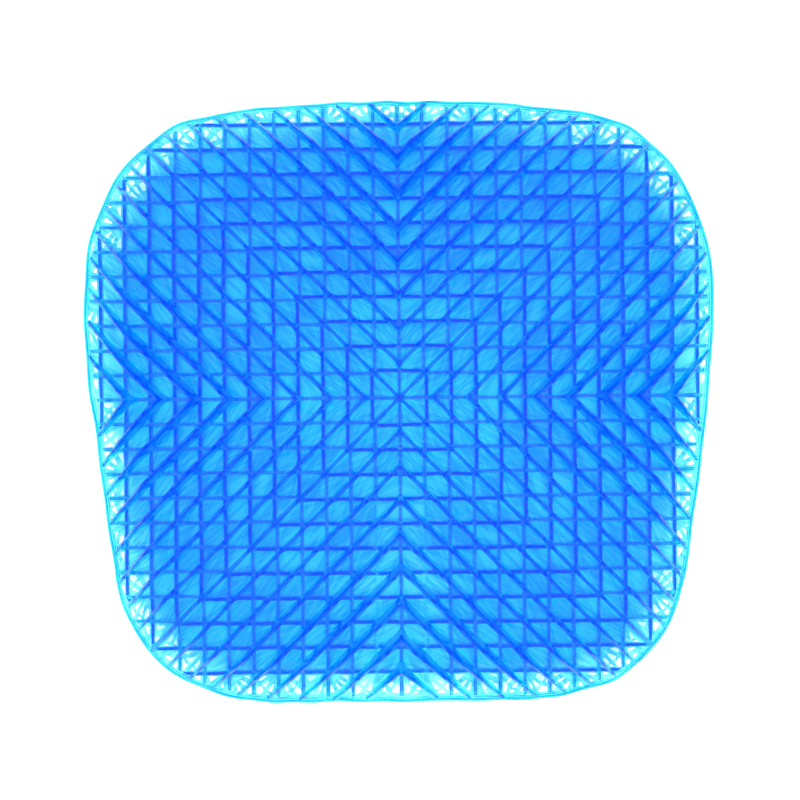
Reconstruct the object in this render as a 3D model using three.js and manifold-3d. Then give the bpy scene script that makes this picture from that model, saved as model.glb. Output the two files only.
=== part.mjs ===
// Gel seat cushion: one elastomer moulding, drawn as the separate walls, membrane and rim that it is cast from.
// Millimetres, +Z up. The origin is under the middle of the outline, on the surface that the cushion lies on.
// +X runs along the width, and +Y towards the back edge.
import * as THREE from "three";
import { mergeVertices } from "three/addons/utils/BufferGeometryUtils.js";
import Module from "manifold-3d";

const wasm = await Module();
wasm.setup();

// Overall size
const WIDTH = 370;
const DEPTH = 353;
const HEIGHT = 35;

// Plan outline: a straight front edge, round corners, sides that widen towards the back, and a crowned back edge
const FRONT_FLAT_HALF = 62;
const SIDE_START = new THREE.Vector2(169.5, -90);
const WIDEST_Y = 58;
const BACK_CORNER = new THREE.Vector2(110, 168.8);
const OUTLINE_STEPS = { front: 1, frontCorner: 9, side: 6, backCorner: 10, back: 5 };

// Plan outline's curve handles, each a point that pulls the curve between two of the points above
const FRONT_CORNER_PULL = [new THREE.Vector2(130, -DEPTH / 2), new THREE.Vector2(163, -150)];
const SIDE_PULL = [new THREE.Vector2(174, -45), new THREE.Vector2(WIDTH / 2, 10)];
const BACK_CORNER_PULL = [new THREE.Vector2(WIDTH / 2, 115), new THREE.Vector2(158, 161)];
const BACK_PULL = [new THREE.Vector2(85, 172.8), new THREE.Vector2(45, DEPTH / 2)];

// Levels
const GAP = 0.3;
const FILM_BOTTOM = 12;
const FILM_THICK = 1.2;
const UPPER_BOTTOM = FILM_BOTTOM + FILM_THICK + GAP;
const LOWER_TOP = FILM_BOTTOM - GAP;

// Rim
const RIM_WIDTH = 3.3;
const RIM_BOTTOM = 8;
const RIM_TOP = 14.5;

// Walls end just inside the rim, and their free edges slope away from it. Each wall is this tall where it ends
const WALL_INSET = RIM_WIDTH + GAP;
const UPPER_END = 4;
const UPPER_SLOPE_RUN = 26;
const LOWER_END = 1;
const LOWER_SLOPE_RUN = 12;

// Square lattice under the membrane
const PITCH = 14.5;
const RING_OFFSET = 1.5;
const LATTICE_Y = 2;
const LATTICE_WALL = 1.6;
const WHOLE_RINGS = 9;
const SIDE_RINGS = [10, 11];
const OUTER_RING = 12;

// From this ring outwards, the front sector has no radial wall on either side of its middle one
const CHANNEL_RING = 4;

// Diagonal walls above the membrane
const DIAGONAL_PITCH = 13.8;
const DIAGONAL_WALL = 1.8;
const CHEVRONS = 8;
const CHEVRON_STEP = DIAGONAL_PITCH * Math.SQRT2;
const BEYOND = WIDTH;

const SECTORS = ["right", "back", "left", "front"];

const gel = {
  lattice: { color: 0x0b6dff, roughness: 0.25, metalness: 0 },
  diagonal: { color: 0x2a86ff, roughness: 0.25, metalness: 0 },
  film: { color: 0x4bc8ff, roughness: 0.2, metalness: 0 },
  rim: { color: 0x4bebff, roughness: 0.25, metalness: 0 },
};

const cushion = new THREE.Group();
cushion.name = "gel_seat_cushion";

function addPiece(name, geometry, look) {
  const mesh = new THREE.Mesh(geometry, new THREE.MeshStandardMaterial(look));
  mesh.name = name;
  cushion.add(mesh);
}

// ---- Solids ----

function toSolid(geometry) {
  const bare = geometry.clone();
  bare.deleteAttribute("normal");
  bare.deleteAttribute("uv");
  const merged = mergeVertices(bare);
  return new wasm.Manifold(
    new wasm.Mesh({
      numProp: 3,
      vertProperties: merged.attributes.position.array,
      triVerts: new Uint32Array(merged.index.array),
    }),
  );
}

function toGeometry(solid) {
  const { vertProperties, triVerts } = solid.getMesh();
  const geometry = new THREE.BufferGeometry();
  geometry.setAttribute("position", new THREE.BufferAttribute(vertProperties, 3));
  geometry.setIndex(new THREE.BufferAttribute(triVerts, 1));
  geometry.computeVertexNormals();
  return geometry;
}

// The largest separate body of a solid: what is left of a wall once its cut-off corner pieces have gone
function mainBody(solid) {
  const bodies = solid.decompose();
  return bodies.reduce((best, body) => (body.volume() > best.volume() ? body : best));
}

function prism(points, bottom, top, hole) {
  const shape = new THREE.Shape(points);
  if (hole) shape.holes.push(new THREE.Path(hole));
  const geometry = new THREE.ExtrudeGeometry(shape, { depth: top - bottom, bevelEnabled: false });
  return geometry.translate(0, 0, bottom);
}

// ---- Outline ----

function rightHalfOutline() {
  const at = (x, y) => new THREE.Vector2(x, y);
  const half = { x: WIDTH / 2, y: DEPTH / 2 };
  const runs = {
    front: new THREE.LineCurve(at(0, -half.y), at(FRONT_FLAT_HALF, -half.y)),
    frontCorner: new THREE.CubicBezierCurve(
      at(FRONT_FLAT_HALF, -half.y),
      ...FRONT_CORNER_PULL,
      SIDE_START,
    ),
    side: new THREE.CubicBezierCurve(SIDE_START, ...SIDE_PULL, at(half.x, WIDEST_Y)),
    backCorner: new THREE.CubicBezierCurve(at(half.x, WIDEST_Y), ...BACK_CORNER_PULL, BACK_CORNER),
    back: new THREE.CubicBezierCurve(BACK_CORNER, ...BACK_PULL, at(0, half.y)),
  };
  const points = [];
  for (const [name, curve] of Object.entries(runs)) {
    points.push(...curve.getSpacedPoints(OUTLINE_STEPS[name]).slice(0, -1));
  }
  return [...points, at(0, half.y)];
}

const rightHalf = rightHalfOutline();
const leftHalf = rightHalf.slice(1, -1).reverse().map((p) => new THREE.Vector2(-p.x, p.y));
const outline = [...rightHalf, ...leftHalf];

// The outline moved inwards, each point along the bisector of its two edges
function insetOutline(distance) {
  return outline.map((point, i) => {
    const before = outline[(i + outline.length - 1) % outline.length];
    const after = outline[(i + 1) % outline.length];
    const alongIn = point.clone().sub(before).normalize();
    const alongOut = after.clone().sub(point).normalize();
    const bisector = alongIn.clone().add(alongOut).normalize();
    const inward = new THREE.Vector2(-bisector.y, bisector.x);
    return point.clone().addScaledVector(inward, distance / alongIn.dot(bisector));
  });
}

// A closed body through the outline at several levels, each [z, inset]
function stackedOutline(levels) {
  const rings = levels.map(([z, inset]) =>
    insetOutline(inset).map((p) => new THREE.Vector3(p.x, p.y, z)),
  );
  const count = outline.length;
  const vertices = rings.flat().flatMap((p) => [p.x, p.y, p.z]);
  const triangles = [];
  for (let level = 0; level + 1 < rings.length; level++) {
    for (let i = 0; i < count; i++) {
      const a = level * count + i;
      const b = level * count + ((i + 1) % count);
      triangles.push(a, b, b + count, a, b + count, a + count);
    }
  }
  const cap = THREE.ShapeUtils.triangulateShape(insetOutline(0), []);
  const last = (rings.length - 1) * count;
  for (const [a, b, c] of cap) {
    triangles.push(c, b, a, last + a, last + b, last + c);
  }
  const geometry = new THREE.BufferGeometry();
  geometry.setAttribute("position", new THREE.Float32BufferAttribute(vertices, 3));
  geometry.setIndex(triangles);
  return geometry;
}

const upperEnvelope = toSolid(
  stackedOutline([
    [UPPER_BOTTOM, WALL_INSET],
    [UPPER_BOTTOM + UPPER_END, WALL_INSET],
    [HEIGHT, WALL_INSET + UPPER_SLOPE_RUN],
  ]),
);
const lowerEnvelope = toSolid(
  stackedOutline([
    [0, WALL_INSET + LOWER_SLOPE_RUN],
    [LOWER_TOP - LOWER_END, WALL_INSET],
    [LOWER_TOP, WALL_INSET],
  ]),
);

// ---- Square lattice ----

const ringHalf = (n) => PITCH * n + RING_OFFSET;

// A plan point of the right-hand sector, turned into one of the four sectors and moved to the lattice centre
function intoSector(x, y, sector) {
  const turned = new THREE.Vector2(x, y).rotateAround(new THREE.Vector2(), (sector * Math.PI) / 2);
  turned.y += LATTICE_Y;
  return turned;
}

// The outer face of one side of ring n, with the radial walls that run from it towards ring n + 1
function toothedSide(n, lastTooth, sector) {
  const face = ringHalf(n) + LATTICE_WALL / 2;
  const tip = ringHalf(n + 1) - LATTICE_WALL / 2 - GAP;
  const inChannel = SECTORS[sector] === "front" && n >= CHANNEL_RING;
  const points = [];
  for (let k = -lastTooth; k <= lastTooth; k++) {
    if (inChannel && Math.abs(k) === 1) continue;
    const [low, high] = [k * PITCH - LATTICE_WALL / 2, k * PITCH + LATTICE_WALL / 2];
    points.push(intoSector(face, low, sector), intoSector(tip, low, sector));
    points.push(intoSector(tip, high, sector), intoSector(face, high, sector));
  }
  return points;
}

function latticeWall(points, hole) {
  const solid = toSolid(prism(points, 0, LOWER_TOP, hole));
  return toGeometry(mainBody(solid.intersect(lowerEnvelope)));
}

function centreCross() {
  const half = LATTICE_WALL / 2;
  const tip = ringHalf(1) - half - GAP;
  const points = SECTORS.flatMap((_, sector) => [
    intoSector(half, -half, sector),
    intoSector(tip, -half, sector),
    intoSector(tip, half, sector),
  ]);
  return latticeWall(points);
}

// A whole square ring wall with its radial walls
function ringWall(n) {
  const outer = ringHalf(n) + LATTICE_WALL / 2;
  const inner = ringHalf(n) - LATTICE_WALL / 2;
  const points = SECTORS.flatMap((_, sector) => [
    ...toothedSide(n, n, sector),
    intoSector(outer, outer, sector),
  ]);
  const hole = SECTORS.map((_, sector) => intoSector(inner, inner, sector));
  return latticeWall(points, hole);
}

// One side of a ring whose corners the outline cuts off
function sideWall(n, sector) {
  const outer = ringHalf(n) + LATTICE_WALL / 2;
  const inner = ringHalf(n) - LATTICE_WALL / 2;
  const points = [
    intoSector(inner, GAP - inner, sector),
    intoSector(outer, GAP - inner, sector),
    ...toothedSide(n, n - 1, sector),
    intoSector(outer, outer, sector),
    intoSector(inner, outer, sector),
  ];
  return latticeWall(points);
}

const twoDigits = (n) => String(n).padStart(2, "0");

addPiece("lattice_centre_cross", centreCross(), gel.lattice);
for (let n = 1; n <= WHOLE_RINGS; n++) {
  addPiece(`lattice_ring_${twoDigits(n)}`, ringWall(n), gel.lattice);
}
for (const n of SIDE_RINGS) {
  SECTORS.forEach((name, sector) => {
    addPiece(`lattice_side_${twoDigits(n)}_${name}`, sideWall(n, sector), gel.lattice);
  });
}
for (const name of ["right", "left"]) {
  addPiece(`lattice_side_${OUTER_RING}_${name}`, sideWall(OUTER_RING, SECTORS.indexOf(name)), gel.lattice);
}

// ---- Membrane: the whole cells only, so its edge is stepped ----

function insideWalls(x, y) {
  const boundary = insetOutline(WALL_INSET);
  let inside = false;
  boundary.forEach((a, i) => {
    const b = boundary[(i + 1) % boundary.length];
    const crosses = a.y > y !== b.y > y;
    if (crosses && x < a.x + ((y - a.y) * (b.x - a.x)) / (b.y - a.y)) inside = !inside;
  });
  return inside;
}

function membraneOutline() {
  const lines = [];
  for (let n = -SIDE_RINGS[1]; n <= SIDE_RINGS[1]; n++) {
    lines.push(LATTICE_Y + Math.sign(n) * (n ? ringHalf(Math.abs(n)) : 0));
  }
  const right = [];
  for (let row = 0; row + 1 < lines.length; row++) {
    const [low, high] = [lines[row], lines[row + 1]];
    let n = SIDE_RINGS[1];
    while (!insideWalls(ringHalf(n), low) || !insideWalls(ringHalf(n), high)) n--;
    right.push(new THREE.Vector2(ringHalf(n), low), new THREE.Vector2(ringHalf(n), high));
  }
  const left = right.map((p) => new THREE.Vector2(-p.x, p.y)).reverse();
  return [...right, ...left];
}

addPiece(
  "membrane",
  toGeometry(toSolid(prism(membraneOutline(), FILM_BOTTOM, FILM_BOTTOM + FILM_THICK))),
  gel.film,
);

// ---- Rim ----

addPiece("outer_rim", prism(outline, RIM_BOTTOM, RIM_TOP, insetOutline(RIM_WIDTH)), gel.rim);

// ---- Diagonal walls ----

const DIAGONAL_HALF = (DIAGONAL_WALL * Math.SQRT2) / 2;

function diagonalWall(points) {
  const solid = toSolid(prism(points, UPPER_BOTTOM, HEIGHT));
  return toGeometry(solid.intersect(upperEnvelope));
}

// A V with its point towards the centre, and arms along the sector's two diagonals
function chevron(step, sector) {
  const apex = step * CHEVRON_STEP;
  return diagonalWall([
    intoSector(apex - DIAGONAL_HALF, 0, sector),
    intoSector(apex - DIAGONAL_HALF + BEYOND, -BEYOND, sector),
    intoSector(apex + DIAGONAL_HALF + BEYOND, -BEYOND, sector),
    intoSector(apex + DIAGONAL_HALF, 0, sector),
    intoSector(apex + DIAGONAL_HALF + BEYOND, BEYOND, sector),
    intoSector(apex - DIAGONAL_HALF + BEYOND, BEYOND, sector),
  ]);
}

function diagonalCross() {
  const points = SECTORS.flatMap((_, sector) => [
    intoSector(DIAGONAL_HALF, 0, sector),
    intoSector(DIAGONAL_HALF + BEYOND, BEYOND, sector),
    intoSector(BEYOND, DIAGONAL_HALF + BEYOND, sector),
  ]);
  return diagonalWall(points);
}

addPiece("diagonal_cross", diagonalCross(), gel.diagonal);
SECTORS.forEach((name, sector) => {
  for (let step = 1; step <= CHEVRONS; step++) {
    addPiece(`chevron_${name}_${step}`, chevron(step, sector), gel.diagonal);
  }
});

export default cushion;
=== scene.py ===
"""The looks of the gel seat cushion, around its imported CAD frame. Metres, +Z up, +Y towards the back."""

import math
from dataclasses import dataclass

import bpy
import numpy as np
from mathutils.geometry import convex_hull_2d
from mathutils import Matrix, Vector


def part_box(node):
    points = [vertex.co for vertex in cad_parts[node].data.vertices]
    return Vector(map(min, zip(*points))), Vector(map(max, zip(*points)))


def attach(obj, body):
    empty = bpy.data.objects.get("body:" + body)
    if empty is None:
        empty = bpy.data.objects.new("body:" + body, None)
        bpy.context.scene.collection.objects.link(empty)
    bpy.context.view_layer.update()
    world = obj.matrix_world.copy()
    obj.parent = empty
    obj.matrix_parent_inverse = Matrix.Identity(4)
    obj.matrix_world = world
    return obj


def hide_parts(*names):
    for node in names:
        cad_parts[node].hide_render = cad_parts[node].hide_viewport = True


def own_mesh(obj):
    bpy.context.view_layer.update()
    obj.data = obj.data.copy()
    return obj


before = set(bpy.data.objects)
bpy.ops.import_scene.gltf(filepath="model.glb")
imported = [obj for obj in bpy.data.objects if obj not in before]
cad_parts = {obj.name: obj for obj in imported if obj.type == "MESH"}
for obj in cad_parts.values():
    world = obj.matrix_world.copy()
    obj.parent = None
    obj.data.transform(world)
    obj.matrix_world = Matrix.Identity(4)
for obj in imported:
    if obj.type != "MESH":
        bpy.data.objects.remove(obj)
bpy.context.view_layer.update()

MM = 0.001

# ---- Sizes read from the frame ----

CLOSED_RINGS = 9
CHEVRONS = 8

film_low, film_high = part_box("membrane")
_, rim_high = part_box("outer_rim")
first_ring_low, first_ring_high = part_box("lattice_ring_01")
_, last_ring_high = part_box(f"lattice_ring_{CLOSED_RINGS:02}")
first_chevron_low, first_chevron_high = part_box("chevron_right_1")
last_chevron_low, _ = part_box(f"chevron_right_{CHEVRONS}")

FILM_BOTTOM = film_low.z
FILM_TOP = film_high.z
FILM_MIDDLE = (FILM_BOTTOM + FILM_TOP) / 2
SEAT_TOP = first_chevron_high.z
UNDERSIDE = first_ring_low.z
PITCH = (last_ring_high.x - first_ring_high.x) / (CLOSED_RINGS - 1)
DIAGONAL_PITCH = (last_chevron_low.x - first_chevron_low.x) / (CHEVRONS - 1) / math.sqrt(2)
LATTICE_Y = (first_ring_low.y + first_ring_high.y) / 2

# ---- Walls ----

LATTICE_WALL = 1.6 * MM
CAD_GAP = 0.3 * MM
RING_OFFSET = first_ring_high.x + LATTICE_WALL / 2 + CAD_GAP - 2 * PITCH
DIAGONAL_WALL = 1.9 * MM
CHANNEL_RING = 4  # from here outwards, the front sector has no radial wall beside its middle one
RING_DROP = 0.9 * MM  # how much shorter the ring walls are than the radial walls
SINK = 0.4 * MM  # how deep the walls' feet go into the membrane
FILLET_RUN = 1.0 * MM
FILLET = 0.16 * MM
FACE_MARGIN = 0.02 * MM  # a cell whose middle is this close to a wall's face is outside it
SMALLEST_WALL = 8  # cells; anything smaller is a scrap that the outline cut off
TOP_WAVER = 0.12 * MM  # how unevenly high the diagonal walls are
BEND = 0.22 * MM  # how far a whole wall wavers sideways
LEAN = 0.3 * MM  # how far its free edge wavers beyond that
LEAN_CURVE = 1.5  # the power of the height that the lean grows with
END_REACH = 2.4 * MM  # the most that a wall's end is moved to meet the outline

# The section of a wall from its foot to its free edge. Each row says what its height is measured from (the
# foot or the free edge, in millimetres, or a share of the whole height), that height, and how far in the
# face is set, in millimetres.
WALL_SECTION = (
    ("foot", 0.0, -0.24),
    ("foot", 0.5, -0.10),
    ("foot", 1.6, 0.0),
    ("share", 0.5, 0.05),
    ("edge", 0.9, 0.12),
    ("edge", 0.38, 0.26),
    ("edge", 0.1, 0.48),
    ("edge", 0.0, 0.64),
)
FULL_HEIGHT = 6 * MM  # a lower wall has its foot and edge roundings scaled down


@dataclass
class Tier:
    """The walls on one side of the membrane."""

    turn: float  # the walls' angle in the plan
    pitch: float
    half_wall: float
    rings: bool
    walls: int  # on each side of the middle one, as far as the grid reaches
    foot_z: float
    free_z: float
    end_inset: float  # how far inside the outline a wall stops
    end_height: float  # how tall it is there
    slope: float
    flare: float  # how far the free edges lean outwards, as a share of the distance from the centre


DIAGONALS = Tier(
    turn=math.pi / 4,
    pitch=DIAGONAL_PITCH,
    half_wall=DIAGONAL_WALL / 2,
    rings=False,
    walls=18,
    foot_z=FILM_TOP - SINK,
    free_z=SEAT_TOP,
    end_inset=2.6 * MM,
    end_height=4.2 * MM,
    slope=17.5 / 26,
    flare=0.004,
)
LATTICE = Tier(
    turn=0,
    pitch=PITCH,
    half_wall=LATTICE_WALL / 2,
    rings=True,
    walls=13,
    foot_z=FILM_BOTTOM + SINK,
    free_z=UNDERSIDE,
    end_inset=3.4 * MM,
    end_height=1.4 * MM,
    slope=10.7 / 12,
    flare=0.014,
)

# ---- Membrane ----

FILM_CELL = 0.95 * MM
FILM_EDGE = 2.1 * MM
HOLE_ROOM = 4.5 * MM
WEB = 1.5 * MM
STRAND = 2.2 * MM
FAN_ANGLES = [math.radians(a) for a in (14, 38, 63)]  # the strands of a part cell, from its inner corner
ARC_STEP = 6.5 * MM  # between the strands that cross a fan
CROSS_STRAND = 1.0 * MM
WEB_BLEND = 0.15 * MM
EDGE_THIN = 0.9  # the membrane's thickness at the rim, as a share of its full thickness
EDGE_RUN = 20 * MM
CHANNEL_THIN = 0.3  # how much thinner the membrane is in the front channel, as a share
CHANNEL_START = -45 * MM  # the channel begins here and runs to the front
CHANNEL_RUN = 30 * MM
CHANNEL_REACH = 50 * MM  # its half width, which fades over CHANNEL_FADE
CHANNEL_FADE = 35 * MM
SEAM_SHIFT = 0.03 * MM  # keeps the quarters of the membrane apart
SMALLEST_FILM = 60  # cells
WHOLE_CELL = 3 * MM  # the field's value in a closed cell

# ---- Rim ----

RIM_WIDTH = 2.5 * MM
RIM_STEPS = 480
SPAN_STEPS = 24  # between two corners of the CAD rim, before the outline is spaced evenly
RIM_WAVER = 0.5 * MM

# The border's section, in millimetres: how far in from the outline, and how high.
RIM_SECTION = (
    (0.0, 10.2),
    (0.0, 13.4),
    (0.25, 14.1),
    (0.8, 14.4),
    (1.2, 14.1),
    (1.5, 13.5),
    (2.0, 13.3),
    (RIM_WIDTH / MM, 13.0),
    (RIM_WIDTH / MM, 12.1),
    (2.0, 11.8),
    (1.4, 11.5),
    (1.2, 10.2),
    (0.9, 9.7),
    (0.35, 9.7),
)

# ---- Camera and light ----

CAMERA_HEIGHT = 0.553
CAMERA_LENS = 41.35
CAMERA_TURN = math.radians(-0.5)
CAMERA_OFFSET = (0.3 * MM, 0.6 * MM)
FLOOR_REACH = 4
PAPER = (0.85, 0.85, 0.85, 1)
LIGHT_STRENGTH = 2.6
BOUNCES = 32  # light passes through many thin walls before it leaves the gel

# ---- Gel ----

GEL_DENSITY = 1000
GEL_CLEAR = (0.0, 0.952, 1.0)  # what is left of each colour once the rest is absorbed
RIM_DENSITY = 650
RIM_CLEAR = (0.0, 0.86, 1.0)
GLOSS_TINT = (0.3, 0.7, 1.0, 1)
FOLDS = 5.0  # folds of the membrane for each radian of a fan
FOLD_LENGTH = 26 * MM
WHITE = (1.0, 1.0, 1.0, 1)


# ---- Plan shapes ----


def smooth_loop(points, count):
    """A closed Catmull-Rom curve through the points, cut into count even steps."""
    before = np.roll(points, 1, axis=0)
    after = np.roll(points, -1, axis=0)
    later = np.roll(points, -2, axis=0)
    t = np.linspace(0, 1, SPAN_STEPS, endpoint=False)[None, :, None]
    p0, p1, p2, p3 = (p[:, None, :] for p in (before, points, after, later))
    curve = 0.5 * (
        2 * p1
        + (p2 - p0) * t
        + (2 * p0 - 5 * p1 + 4 * p2 - p3) * t**2
        + (3 * p1 - p0 - 3 * p2 + p3) * t**3
    )
    curve = curve.reshape(-1, 2)
    steps = np.linalg.norm(np.roll(curve, -1, axis=0) - curve, axis=1)
    along = np.concatenate([[0], np.cumsum(steps)])
    curve = np.vstack([curve, curve[:1]])
    wanted = np.linspace(0, along[-1], count, endpoint=False)
    return np.stack([np.interp(wanted, along, curve[:, i]) for i in (0, 1)], axis=1)


def plan_outline(count):
    """The cushion's outline, anticlockwise, from the rim's own corners."""
    corners = np.array([v.co[:2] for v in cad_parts["outer_rim"].data.vertices])
    corners = np.unique(np.round(corners, 6), axis=0)
    hull = corners[convex_hull_2d([tuple(p) for p in corners])]
    return smooth_loop(hull, count)


OUTLINE = plan_outline(RIM_STEPS)


def inside_by(x, y):
    """How far each point is inside the outline; below zero outside it."""
    shape = np.shape(x)
    points = np.stack([np.ravel(x), np.ravel(y)], axis=1)
    start = OUTLINE
    run = np.roll(OUTLINE, -1, axis=0) - start
    length = np.linalg.norm(run, axis=1)
    run = run / length[:, None]
    result = np.empty(len(points))
    batch = 8192
    for first in range(0, len(points), batch):
        part = points[first : first + batch, None, :] - start[None]
        along = np.clip((part * run).sum(2), 0, length)
        away = np.hypot(*np.moveaxis(part - along[..., None] * run, 2, 0))
        nearest = away.argmin(1)
        rows = np.arange(len(part))
        across = run[nearest, 0] * part[rows, nearest, 1] - run[nearest, 1] * part[rows, nearest, 0]
        result[first : first + batch] = away[rows, nearest] * np.sign(across)
    return result.reshape(shape)


def ripple(x, y, wavelength, seed):
    """A smooth wavering over the plan, mostly between -1 and 1: seven waves in random directions."""
    rng = np.random.default_rng(seed)
    total = np.zeros(np.shape(x))
    for _ in range(7):
        angle = rng.uniform(0, math.tau)
        number = math.tau / (wavelength * rng.uniform(0.6, 1.6))
        phase = rng.uniform(0, math.tau)
        total = total + np.sin(number * (x * math.cos(angle) + y * math.sin(angle)) + phase)
    return total / 3


# ---- Closed meshes over a grid ----


def neighbours(solid):
    """The cells beside each cell, as four arrays: towards +u, -u, +v and -v."""
    padded = np.pad(solid, 1)
    return padded[2:, 1:-1], padded[:-2, 1:-1], padded[1:-1, 2:], padded[1:-1, :-2]


def cells_round(solid):
    """The four cells round each grid point: towards -u-v, +u-v, -u+v and +u+v."""
    padded = np.pad(solid, 1)
    return padded[:-1, :-1], padded[1:, :-1], padded[:-1, 1:], padded[1:, 1:]


def without_corner_touches(solid):
    """Fills cells until no two solid cells meet only at a corner, which a closed mesh can't have."""
    solid = solid.copy()
    while True:
        sw, se, nw, ne = cells_round(solid)
        rising = sw & ne & ~se & ~nw
        falling = se & nw & ~sw & ~ne
        if not rising.any() and not falling.any():
            return solid
        for i, j in np.argwhere(rising):
            solid[min(i, solid.shape[0] - 1), j - 1] = True
        for i, j in np.argwhere(falling):
            solid[i - 1, j - 1] = True


def without_scraps(solid, smallest):
    """Drops the bodies that have fewer cells than smallest."""
    kept = np.zeros_like(solid)
    seen = np.zeros_like(solid)
    for start in np.argwhere(solid):
        if seen[tuple(start)]:
            continue
        body = [tuple(start)]
        seen[body[0]] = True
        for i, j in body:
            for near in ((i + 1, j), (i - 1, j), (i, j + 1), (i, j - 1)):
                within = 0 <= near[0] < solid.shape[0] and 0 <= near[1] < solid.shape[1]
                if within and solid[near] and not seen[near]:
                    seen[near] = True
                    body.append(near)
        if len(body) >= smallest:
            kept[tuple(np.array(body).T)] = True
    return kept


def block_mesh(name, solid, levels):
    """A closed mesh of the solid cells. levels holds the grid's points at each height, lowest first."""
    number = np.arange(levels[..., 0].size).reshape(levels.shape[:3])
    i, j = np.nonzero(solid)
    square = ((i, j), (i + 1, j), (i + 1, j + 1), (i, j + 1))
    top = np.stack([number[-1][at] for at in square], axis=1)
    bottom = np.stack([number[0][at] for at in reversed(square)], axis=1)
    faces = [top, bottom]
    ends = (((1, 0), (1, 1)), ((0, 1), (0, 0)), ((1, 1), (0, 1)), ((0, 0), (1, 0)))
    for beside, (first, second) in zip(neighbours(solid), ends):
        i, j = np.nonzero(solid & ~beside)
        a = (i + first[0], j + first[1])
        b = (i + second[0], j + second[1])
        for low, high in zip(number[:-1], number[1:]):
            faces.append(np.stack([low[a], low[b], high[b], high[a]], axis=1))
    faces = np.concatenate(faces)
    used, faces = np.unique(faces, return_inverse=True)
    points = levels.reshape(-1, 3)[used]
    return mesh_object(name, points, faces.reshape(-1, 4))


def mesh_object(name, points, faces, sharp=60):
    mesh = bpy.data.meshes.new(name)
    mesh.from_pydata(points.tolist(), [], faces.tolist())
    mesh.validate()
    mesh.polygons.foreach_set("use_smooth", [True] * len(mesh.polygons))
    mesh.set_sharp_from_angle(angle=math.radians(sharp))
    piece = bpy.data.objects.new(name, mesh)
    bpy.context.scene.collection.objects.link(piece)
    return piece


# ---- Wall networks ----


def wall_lines(pitch, offsets, half_count):
    """Grid lines for walls at every pitch: their faces, a line beside each for its fillet, and the middle.

    offsets are the walls' faces, measured outwards from k pitches, in rising order.
    """
    one_side = []
    for k in range(half_count + 1):
        start = k * pitch + offsets[-1]
        end = (k + 1) * pitch + offsets[0]
        if k:
            one_side += [k * pitch + offset for offset in offsets]
        else:
            start = -offsets[0]
            one_side.append(start)
        room = end - start
        one_side += [start + FILLET_RUN, start + room / 2, end - FILLET_RUN]
    one_side = np.array(one_side)
    return np.concatenate([-one_side[::-1], one_side])


def lattice_parts(u, v):
    """Two masks for points in lattice coordinates: radial walls and ring walls."""
    far = np.maximum(abs(u), abs(v))
    near = np.minimum(abs(u), abs(v))
    half = LATTICE_WALL / 2
    k = np.floor((near + half) / PITCH)
    beside = near - k * PITCH
    radial = abs(beside) < np.where(k > 0, half - FACE_MARGIN, half)
    radial &= (far > k * PITCH + RING_OFFSET - half) | (k == 0)
    in_channel = (v < 0) & (abs(v) > abs(u)) & (k == 1)
    radial &= ~(in_channel & (far > CHANNEL_RING * PITCH + RING_OFFSET + half))
    ring_number = np.floor((far - RING_OFFSET / 2) / PITCH)
    past = far - ring_number * PITCH
    ring = (ring_number >= 1) & (past < RING_OFFSET + half)
    return radial, ring


def diagonal_parts(u, v):
    """Two masks for points in coordinates turned by 45 degrees: the diagonal walls, and no rings."""
    far = np.maximum(abs(u), abs(v))
    near = np.minimum(abs(u), abs(v))
    half = DIAGONALS.half_wall
    k = np.floor((near + half) / DIAGONAL_PITCH)
    beside = near - k * DIAGONAL_PITCH
    radial = (abs(beside) < np.where(k > 0, half - FACE_MARGIN, half)) & (k <= CHEVRONS)
    radial &= (far > k * DIAGONAL_PITCH - half) | (k == 0)
    return radial, np.zeros_like(radial)


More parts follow.
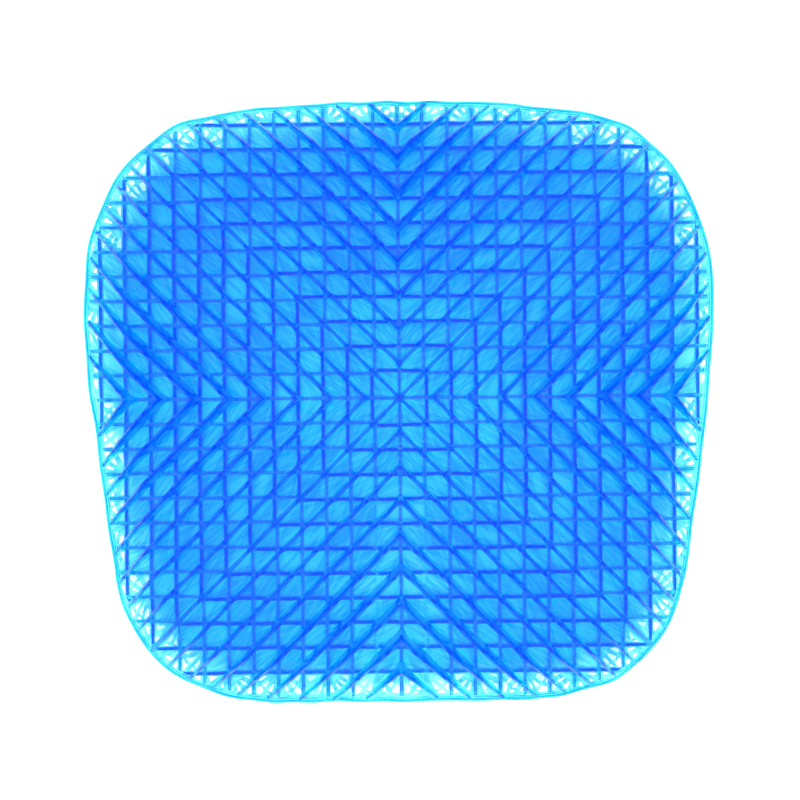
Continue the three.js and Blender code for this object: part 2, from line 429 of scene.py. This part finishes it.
def wall_network(name, tier):
    """All the walls of one tier as a single closed moulding."""
    half = tier.half_wall
    offsets = (-half, RING_OFFSET / 2, RING_OFFSET + half) if tier.rings else (-half, half)
    lines = wall_lines(tier.pitch, offsets, tier.walls)
    middle = (lines[1:] + lines[:-1]) / 2
    cosine, sine = math.cos(tier.turn), math.sin(tier.turn)

    def plan(u, v):
        return u * cosine - v * sine, u * sine + v * cosine + LATTICE_Y

    cell_u, cell_v = np.meshgrid(middle, middle, indexing="ij")
    parts = lattice_parts if tier.rings else diagonal_parts
    radial, ring = parts(cell_u, cell_v)
    pattern = radial | ring
    solid = pattern & (inside_by(*plan(cell_u, cell_v)) > tier.end_inset)
    solid = without_scraps(without_corner_touches(solid), SMALLEST_WALL)

    u, v = np.meshgrid(lines, lines, indexing="ij")
    u, v = stretch_ends(u, v, plan, solid, pattern & ~solid, tier.end_inset)
    sw, se, nw, ne = cells_round(solid)
    count = sw.astype(int) + se + nw + ne
    inward_u = np.sign(se.astype(int) + ne - sw - nw)
    inward_v = np.sign(nw.astype(int) + ne - sw - se)
    on_radial = np.logical_or.reduce(cells_round(radial & solid))

    x, y = plan(u, v)
    depth = inside_by(x, y) - tier.end_inset
    up = math.copysign(1, tier.free_z - tier.foot_z)
    full = abs(tier.free_z - tier.foot_z)
    height = np.minimum(full, tier.end_height + tier.slope * np.maximum(depth, 0))
    height = height - np.where(on_radial, 0, RING_DROP * height / full) * tier.rings
    height = height - TOP_WAVER * (1 + ripple(x, y, 40 * MM, seed=11)) * (up > 0)
    rounding = np.minimum(1, height / FULL_HEIGHT)
    bend_x = BEND * ripple(x, y, 45 * MM, seed=23)
    bend_y = BEND * ripple(x, y, 45 * MM, seed=24)
    lean_x = LEAN * ripple(x, y, 60 * MM, seed=21) + tier.flare * x
    lean_y = LEAN * ripple(x, y, 60 * MM, seed=22) + tier.flare * y

    levels = []
    for measure, amount, inset in WALL_SECTION:
        if measure == "foot":
            rise = amount * MM * rounding
        elif measure == "edge":
            rise = height - amount * MM * rounding
        else:
            rise = height * amount
        outset = inset * MM * np.where(inset > 0, 1, rounding)
        outset = outset - np.where(count == 3, FILLET, 0)
        level_x, level_y = plan(u + inward_u * outset, v + inward_v * outset)
        share = (rise / full) ** LEAN_CURVE
        level_x = level_x + bend_x + lean_x * share
        level_y = level_y + bend_y + lean_y * share
        levels.append(np.stack([level_x, level_y, tier.foot_z + up * rise], axis=-1))
    if up < 0:
        levels.reverse()
    return block_mesh(name, solid, np.array(levels))


def stretch_ends(u, v, plan, solid, cut, end_inset):
    """Moves the ends of the walls that the outline cuts, so that each stops end_inset inside it."""
    u, v = u.copy(), v.copy()
    padded = np.pad(solid, 1)
    step = 0.2 * MM
    least_fall = 0.35  # keeps a wall that runs along the outline from being moved too far
    for axis, sign in ((0, 1), (0, -1), (1, 1), (1, -1)):
        kept_beside = np.roll(padded, sign, axis=axis)[1:-1, 1:-1]
        i, j = np.nonzero(cut & kept_beside)
        first = (i + (sign < 0), j) if axis == 0 else (i, j + (sign < 0))
        second = (first[0] + (axis == 1), first[1] + (axis == 0))
        for at in (first, second):
            here_u, here_v = u[at], v[at]
            moved = np.zeros(len(here_u))
            for _ in range(5):
                here = inside_by(*plan(here_u + moved * (axis == 0), here_v + moved * (axis == 1)))
                ahead = moved + sign * step
                there = inside_by(*plan(here_u + ahead * (axis == 0), here_v + ahead * (axis == 1)))
                fall = np.maximum((here - there) / step, least_fall)
                moved = np.clip(moved + sign * (here - end_inset) / fall, -END_REACH, END_REACH)
            if axis == 0:
                u[at] = here_u + moved
            else:
                v[at] = here_v + moved
    return u, v


# ---- Membrane ----


def smooth_most(values, blend):
    """The largest of the values, with the corners between them rounded."""
    values = np.array(values)
    most = values.max(0)
    return most + blend * np.log(np.exp((values - most) / blend).sum(0))


def film_field(x, y):
    """Above zero where there is membrane: whole cells are closed, and part cells at the rim hold strands."""
    v = y - LATTICE_Y
    far = np.maximum(abs(x), abs(v))
    near = np.minimum(abs(x), abs(v))
    ring = np.floor((far - RING_OFFSET) / PITCH)
    column = np.floor(near / PITCH)
    corner_far = (ring + 1) * PITCH + RING_OFFSET
    corner_near = (column + 1) * PITCH
    along_x = abs(x) >= abs(v)
    corner_x = np.where(along_x, corner_far, corner_near) * np.sign(x)
    corner_y = np.where(along_x, corner_near, corner_far) * np.sign(v) + LATTICE_Y
    keys = np.stack([corner_x, corner_y], axis=-1).reshape(-1, 2)
    unique, place = np.unique(np.round(keys, 6), axis=0, return_inverse=True)
    room = inside_by(unique[:, 0], unique[:, 1])[place.reshape(-1)].reshape(np.shape(x))
    whole = room > HOLE_ROOM

    to_ring = abs(far - RING_OFFSET - np.round((far - RING_OFFSET) / PITCH) * PITCH)
    to_radial = abs(near - np.round(near / PITCH) * PITCH)
    across = abs(abs(x) - abs(v)) / math.sqrt(2)
    to_diagonal = abs(across - np.round(across / DIAGONAL_PITCH) * DIAGONAL_PITCH)
    outward = far - RING_OFFSET - ring * PITCH
    sideways = near - column * PITCH
    sideways = np.where((ring + column) % 2 == 0, sideways, PITCH - sideways)
    reach = np.hypot(outward, sideways)
    bearing = np.arctan2(sideways, outward) + 0.12 * ripple(x, y, 25 * MM, seed=32)
    to_strand = np.min([reach * abs(np.sin(bearing - angle)) for angle in FAN_ANGLES], axis=0)
    to_cross = abs(reach - np.round(reach / ARC_STEP) * ARC_STEP)
    depth = inside_by(x, y)
    lip = FILM_EDGE + 1.0 * MM - depth + 0.5 * MM * ripple(x, y, 30 * MM, seed=31)
    strands = [STRAND / 2 - to_strand, CROSS_STRAND / 2 - to_cross]
    open_part = smooth_most([WEB - to_ring, WEB - to_radial, WEB - to_diagonal, lip, *strands], WEB_BLEND)
    field = np.where(whole, WHOLE_CELL, open_part)
    return np.minimum(field, depth - FILM_EDGE)


def snap_to_edge(x, y, field, near_edge):
    """Moves the marked grid points onto the field's zero line."""
    step = 0.1 * MM
    px, py = x[near_edge], y[near_edge]
    for _ in range(3):
        here = field(px, py)
        slope_x = (field(px + step, py) - here) / step
        slope_y = (field(px, py + step) - here) / step
        steep = np.maximum(slope_x**2 + slope_y**2, 0.2)
        px = px - here * slope_x / steep
        py = py - here * slope_y / steep
    limit = 0.62 * FILM_CELL
    moved_x, moved_y = x.copy(), y.copy()
    moved_x[near_edge] = np.clip(px, x[near_edge] - limit, x[near_edge] + limit)
    moved_y[near_edge] = np.clip(py, y[near_edge] - limit, y[near_edge] + limit)
    return moved_x, moved_y


def membrane_quarter(name, side_x, side_y):
    """The membrane in one quarter of the plan. The centre walls run under the gaps between them."""
    count_x = math.ceil(rim_high.x / FILM_CELL)
    count_y = math.ceil((rim_high.y + LATTICE_Y) / FILM_CELL)
    lines_x = np.arange(count_x + 1) * FILM_CELL + SEAM_SHIFT
    lines_y = np.arange(count_y + 1) * FILM_CELL + SEAM_SHIFT
    x, y = np.meshgrid(side_x * lines_x, side_y * lines_y, indexing="ij")
    y = y + LATTICE_Y
    middle_x = (x[1:, 1:] + x[:-1, 1:]) / 2
    middle_y = (y[1:, 1:] + y[1:, :-1]) / 2
    solid = film_field(middle_x, middle_y) > 0
    solid = without_scraps(without_corner_touches(solid), SMALLEST_FILM)
    sw, se, nw, ne = cells_round(solid)
    count = sw.astype(int) + se + nw + ne
    on_seam = np.zeros_like(count, bool)
    on_seam[0, :] = True
    on_seam[:, 0] = True
    x, y = snap_to_edge(x, y, film_field, (count > 0) & (count < 4) & ~on_seam)
    wave = 0.14 * MM * ripple(x, y, 9 * MM, seed=41) + 0.08 * MM * ripple(x, y, 22 * MM, seed=42)
    full = np.clip((inside_by(x, y) - FILM_EDGE) / EDGE_RUN, 0, 1)
    half = (FILM_TOP - FILM_BOTTOM) / 2 * (EDGE_THIN + (1 - EDGE_THIN) * full**2 * (3 - 2 * full))
    half = half - 0.08 * MM * (1 + ripple(x, y, 14 * MM, seed=43)) * full
    in_front = np.clip((CHANNEL_START - y) / CHANNEL_RUN, 0, 1)
    channel = in_front * np.clip((CHANNEL_REACH - abs(x)) / CHANNEL_FADE, 0, 1)
    half = half * (1 - CHANNEL_THIN * channel)
    top = np.stack([x, y, FILM_MIDDLE + half + wave], axis=-1)
    bottom = np.stack([x, y, FILM_MIDDLE - half + wave], axis=-1)
    if side_x * side_y < 0:
        solid, top, bottom = solid[::-1], top[::-1], bottom[::-1]
    return block_mesh(name, solid, np.array([bottom, top]))


# ---- Rim ----


def rim_ring(name):
    """The moulded border: a thin flange with a taller bead round its outer edge."""
    ahead = np.roll(OUTLINE, -1, axis=0) - np.roll(OUTLINE, 1, axis=0)
    ahead = ahead / np.linalg.norm(ahead, axis=1)[:, None]
    inward = np.stack([-ahead[:, 1], ahead[:, 0]], axis=1)
    x, y = OUTLINE.T
    waver = RIM_WAVER * ripple(x, y, 30 * MM, seed=51)
    swell = 1 + 0.12 * ripple(x, y, 21 * MM, seed=52)
    rings = []
    for inset, z in RIM_SECTION:
        across = waver + inset * MM * swell
        rise = FILM_MIDDLE + (z * MM - FILM_MIDDLE) * (0.85 + 0.15 * swell)
        rings.append(np.column_stack([OUTLINE + inward * across[:, None], rise]))
    points = np.array(rings)
    count = len(OUTLINE)
    number = np.arange(len(RIM_SECTION) * count).reshape(len(RIM_SECTION), count)
    after = np.roll(number, -1, axis=0)
    faces = np.stack([number, np.roll(number, -1, axis=1), np.roll(after, -1, axis=1), after], axis=-1)
    return mesh_object(name, points.reshape(-1, 3), faces.reshape(-1, 4))


# ---- Materials ----


class Graph:
    """Short ways to add nodes to a material."""

    def __init__(self, material):
        self.nodes = material.node_tree.nodes
        self.links = material.node_tree.links

    def set(self, socket, value):
        if isinstance(value, bpy.types.NodeSocket):
            self.links.new(value, socket)
        else:
            socket.default_value = value

    def node(self, kind, **inputs):
        node = self.nodes.new(kind)
        for name, value in inputs.items():
            self.set(node.inputs[name.replace("_", " ")], value)
        return node

    def math(self, operation, *values):
        node = self.nodes.new("ShaderNodeMath")
        node.operation = operation
        for socket, value in zip(node.inputs, values):
            self.set(socket, value)
        return node.outputs[0]

    def vector(self, x, y, z=0.0):
        return self.node("ShaderNodeCombineXYZ", X=x, Y=y, Z=z).outputs[0]

    def mix(self, factor, first, second):
        node = self.nodes.new("ShaderNodeMix")
        node.data_type = "RGBA"
        for name, value in (("Factor_Float", factor), ("A_Color", first), ("B_Color", second)):
            self.set(next(s for s in node.inputs if s.identifier == name), value)
        return next(s for s in node.outputs if s.identifier == "Result_Color")

    def tint(self, factor, colour, by):
        """The colour multiplied by another one, as far as the factor says."""
        result = self.mix(factor, colour, by)
        result.node.blend_type = "MULTIPLY"
        return result

    def noise(self, vector, scale, detail=2.0, distortion=0.0):
        node = self.node(
            "ShaderNodeTexNoise", Vector=vector, Scale=scale, Detail=detail, Distortion=distortion
        )
        return node.outputs["Fac"]

    def step(self, value, low, high):
        node = self.nodes.new("ShaderNodeMapRange")
        node.interpolation_type = "SMOOTHSTEP"
        for name, setting in (("Value", value), ("From Min", low), ("From Max", high)):
            self.set(node.inputs[name], setting)
        return node.outputs["Result"]

    def place(self):
        """The point, and its distances from the lattice's axes: the longer, then the shorter."""
        point = self.nodes.new("ShaderNodeTexCoord").outputs["Object"]
        split = self.node("ShaderNodeSeparateXYZ", Vector=point).outputs
        side = self.math("ABSOLUTE", split["X"])
        ahead = self.math("ABSOLUTE", self.math("SUBTRACT", split["Y"], LATTICE_Y))
        return point, self.math("MAXIMUM", side, ahead), self.math("MINIMUM", side, ahead)

    def off_walls(self, far, near):
        """How far a point is from the nearest ring wall's line, and from the nearest radial wall's."""
        distances = []
        for value, start in ((far, 1.5 * PITCH - RING_OFFSET), (near, PITCH / 2)):
            past = self.math("MODULO", self.math("ADD", value, start), PITCH)
            distances.append(self.math("ABSOLUTE", self.math("SUBTRACT", past, PITCH / 2)))
        return distances

    def fans(self, far, near):
        """Two noises made of rays, which spread from each cell's inner corner and from its outer one."""
        outward = self.math("SUBTRACT", far, RING_OFFSET)
        cell = self.math("MULTIPLY", self.math("FLOOR", self.math("DIVIDE", outward, PITCH)), 3.7)
        cell = self.math("ADD", cell, self.math("FLOOR", self.math("DIVIDE", near, PITCH)))
        outward = self.math("MODULO", self.math("ADD", outward, PITCH), PITCH)
        sideways = self.math("MODULO", near, PITCH)
        rays = []
        for turned in (False, True):
            if turned:
                outward = self.math("SUBTRACT", PITCH, outward)
                sideways = self.math("SUBTRACT", PITCH, sideways)
            bearing = self.math("MULTIPLY", self.math("ARCTAN2", sideways, outward), FOLDS)
            squares = self.math("MULTIPLY", outward, outward), self.math("MULTIPLY", sideways, sideways)
            reach = self.math("SQRT", self.math("ADD", *squares))
            where = self.vector(bearing, self.math("DIVIDE", reach, FOLD_LENGTH), cell)
            rays.append(self.noise(where, 1.0, 4.0, 0.3))
        return rays

    def darker_outwards_and_back(self, point, far):
        """How far the colour is darkened: rising from 0 in the middle outwards and towards the back, to at
        most 1, but low in the front channel.
        """
        split = self.node("ShaderNodeSeparateXYZ", Vector=point).outputs
        outer = self.math("MULTIPLY", self.step(far, 40 * MM, 125 * MM), 0.5)
        back = self.math("MULTIPLY", self.step(split["Y"], 0, 120 * MM), 0.5)
        side = self.math("ABSOLUTE", split["X"])
        channel = self.math(
            "MULTIPLY", self.step(split["Y"], -35 * MM, -80 * MM), self.step(side, 75 * MM, 15 * MM)
        )
        return self.math("MULTIPLY", self.math("ADD", outer, back), self.math("SUBTRACT", 1.0, channel))


def gel(name, density=GEL_DENSITY, clear=GEL_CLEAR, roughness=0.12):
    """Clear blue elastomer: the colour is in its depth, so thin places are pale and deep ones dark."""
    material = bpy.data.materials.new(name)
    material.use_nodes = True
    graph = Graph(material)
    shader = graph.nodes["Principled BSDF"]
    shader.inputs["Roughness"].default_value = roughness
    shader.inputs["IOR"].default_value = 1.42
    shader.inputs["Specular Tint"].default_value = GLOSS_TINT
    shader.inputs["Transmission Weight"].default_value = 1.0
    volume = graph.nodes.new("ShaderNodeVolumeAbsorption")
    volume.inputs["Color"].default_value = (*clear, 1)
    volume.inputs["Density"].default_value = density
    graph.links.new(volume.outputs["Volume"], graph.nodes["Material Output"].inputs["Volume"])
    return material, graph, shader


def bump(graph, shader, height, distance, strength=1.0):
    node = graph.node("ShaderNodeBump", Strength=strength, Distance=distance, Height=height)
    graph.links.new(node.outputs["Normal"], shader.inputs["Normal"])


def film_gel():
    """The membrane, drawn into fans of fine folds as it set, with cloudy patches and specks, and with
    painted shade in fan streaks along the folds and beside the walls.
    """
    material, graph, shader = gel("gel_film")
    point, far, near = graph.place()
    inner, outer = graph.fans(far, near)
    fold = graph.math("ADD", graph.math("MULTIPLY", inner, 0.55), graph.math("MULTIPLY", outer, 0.45))
    # Painted shade: fan streaks along the folds are darkened in the colour.
    shade = graph.mix(graph.step(inner, 0.44, 0.54), (0.5, 0.78, 1.0, 1), WHITE)
    shade = graph.tint(graph.step(outer, 0.54, 0.44), shade, (0.5, 0.8, 1.0, 1))
    cloud = graph.noise(point, 55, 3.0)
    shade = graph.tint(graph.step(cloud, 0.6, 0.4), shade, (0.8, 0.92, 1.0, 1))
    off_ring, off_radial = graph.off_walls(far, near)
    # Painted shade: the membrane is darkened within about 3 mm of the walls, where their shadows fall.
    painted_wall_shade = graph.step(graph.math("MINIMUM", off_ring, off_radial), 3.2 * MM, 0.6 * MM)
    shade = graph.tint(painted_wall_shade, shade, (0.75, 0.9, 1.0, 1))
    # Darker in the outer parts and at the back, less so in the front channel.
    shade = graph.tint(graph.darker_outwards_and_back(point, far), shade, (0.7, 0.86, 1.0, 1))
    specks = graph.node("ShaderNodeTexVoronoi", Vector=point, Scale=70.0).outputs["Distance"]
    shade = graph.mix(graph.step(specks, 0.03, 0.05), (0.05, 0.4, 1.0, 1), shade)
    graph.set(shader.inputs["Base Color"], shade)
    bump(graph, shader, fold, 0.6 * MM)
    return material


def lattice_gel():
    """The lattice walls, with painted shade: the ring walls' colour is darkened and their reflections are
    tinted deep blue, so that they look darker than the radial walls that they run between.
    """
    material, graph, shader = gel("gel_lattice")
    point, far, near = graph.place()
    off_ring, off_radial = graph.off_walls(far, near)
    # Painted shade: the mask of the ring walls, which darkens their colour and their reflections.
    ring = graph.math(
        "MULTIPLY", graph.step(off_ring, 2.2 * MM, 1.4 * MM), graph.step(off_radial, 0.9 * MM, 1.5 * MM)
    )
    cloud = graph.noise(point, 60, 3.0)
    pale = graph.mix(graph.step(cloud, 0.3, 0.7), (0.9, 0.95, 1.0, 1), WHITE)
    graph.set(shader.inputs["Base Color"], graph.mix(ring, pale, (0.01, 0.2, 1.0, 1)))
    graph.set(shader.inputs["Specular Tint"], graph.mix(ring, WHITE, (0.0, 0.3, 1.0, 1)))
    bump(graph, shader, graph.noise(point, 320, 2.0), 0.08 * MM)
    return material


def diagonal_gel():
    """The diagonal walls: faint flow lines down their faces."""
    material, graph, shader = gel("gel_diagonal")
    point, far, _ = graph.place()
    split = graph.node("ShaderNodeSeparateXYZ", Vector=point).outputs
    flow = graph.noise(
        graph.vector(
            graph.math("MULTIPLY", split["X"], 260.0),
            graph.math("MULTIPLY", split["Y"], 260.0),
            graph.math("MULTIPLY", split["Z"], 40.0),
        ),
        1.0,
        2.0,
    )
    cloud = graph.noise(point, 40, 2.0)
    tone = graph.mix(graph.step(cloud, 0.3, 0.7), (0.8, 0.92, 1.0, 1), WHITE)
    tone = graph.tint(graph.step(flow, 0.5, 0.3), tone, (0.8, 0.92, 1.0, 1))
    # Darker in the outer parts and at the back, less so in the front channel.
    tone = graph.tint(graph.darker_outwards_and_back(point, far), tone, (0.8, 0.95, 1.0, 1))
    graph.set(shader.inputs["Base Color"], tone)
    bump(graph, shader, flow, 0.1 * MM)
    return material


def rim_gel():
    """The moulded border: fine ripples along it and a few cloudy patches."""
    material, graph, shader = gel("gel_rim", RIM_DENSITY, RIM_CLEAR)
    point, _, _ = graph.place()
    cloud = graph.noise(point, 90, 3.0)
    graph.set(
        shader.inputs["Base Color"],
        graph.mix(graph.step(cloud, 0.3, 0.6), (0.85, 0.95, 1.0, 1), WHITE),
    )
    bump(graph, shader, graph.noise(point, 260, 3.0), 0.15 * MM)
    return material


def dress(piece, material, body, nodes):
    piece.data.materials.append(material)
    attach(piece, body)
    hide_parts(*nodes)


# ---- Studio ----


def studio():
    scene = bpy.context.scene
    camera = bpy.data.objects.new("camera", bpy.data.cameras.new("camera"))
    scene.collection.objects.link(camera)
    camera.location = (*CAMERA_OFFSET, CAMERA_HEIGHT)
    camera.rotation_euler = (0, 0, CAMERA_TURN)
    camera.data.lens = CAMERA_LENS
    camera.data.clip_end = 20
    scene.camera = camera

    floor_mesh = bpy.data.meshes.new("floor")
    corners = [(FLOOR_REACH * x, FLOOR_REACH * y, 0) for x, y in ((-1, -1), (1, -1), (1, 1), (-1, 1))]
    floor_mesh.from_pydata(corners, [], [(0, 1, 2, 3)])
    floor = bpy.data.objects.new("floor", floor_mesh)
    scene.collection.objects.link(floor)
    paper = bpy.data.materials.new("studio_paper")
    paper.use_nodes = True
    shader = paper.node_tree.nodes["Principled BSDF"]
    shader.inputs["Base Color"].default_value = PAPER
    shader.inputs["Roughness"].default_value = 0.9
    shader.inputs["Specular IOR Level"].default_value = 0
    floor_mesh.materials.append(paper)

    world = bpy.data.worlds.new("studio")
    world.use_nodes = True
    background = world.node_tree.nodes["Background"]
    background.inputs["Color"].default_value = WHITE
    background.inputs["Strength"].default_value = LIGHT_STRENGTH
    scene.world = world
    scene.view_settings.view_transform = "Standard"
    scene.cycles.max_bounces = BOUNCES
    scene.cycles.transmission_bounces = BOUNCES
    scene.cycles.glossy_bounces = BOUNCES
    scene.cycles.diffuse_bounces = 8
    scene.cycles.blur_glossy = 0


studio()

lattice_nodes = [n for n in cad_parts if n.startswith("lattice_")]
diagonal_nodes = [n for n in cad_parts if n.startswith(("chevron_", "diagonal_"))]

lattice = wall_network("gel_lattice", LATTICE)
diagonals = wall_network("gel_diagonals", DIAGONALS)
rim = rim_ring("gel_rim")
quarters = [
    membrane_quarter(f"membrane_{depth}_{side}", side_x, side_y)
    for depth, side_y in (("front", -1), ("back", 1))
    for side, side_x in (("left", -1), ("right", 1))
]

dress(lattice, lattice_gel(), "base", lattice_nodes)
dress(diagonals, diagonal_gel(), "seat_top", diagonal_nodes)
dress(rim, rim_gel(), "base", ["outer_rim"])
film_material = film_gel()
for quarter in quarters:
    dress(quarter, film_material, "base", ["membrane"])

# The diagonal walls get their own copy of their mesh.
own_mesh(diagonals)
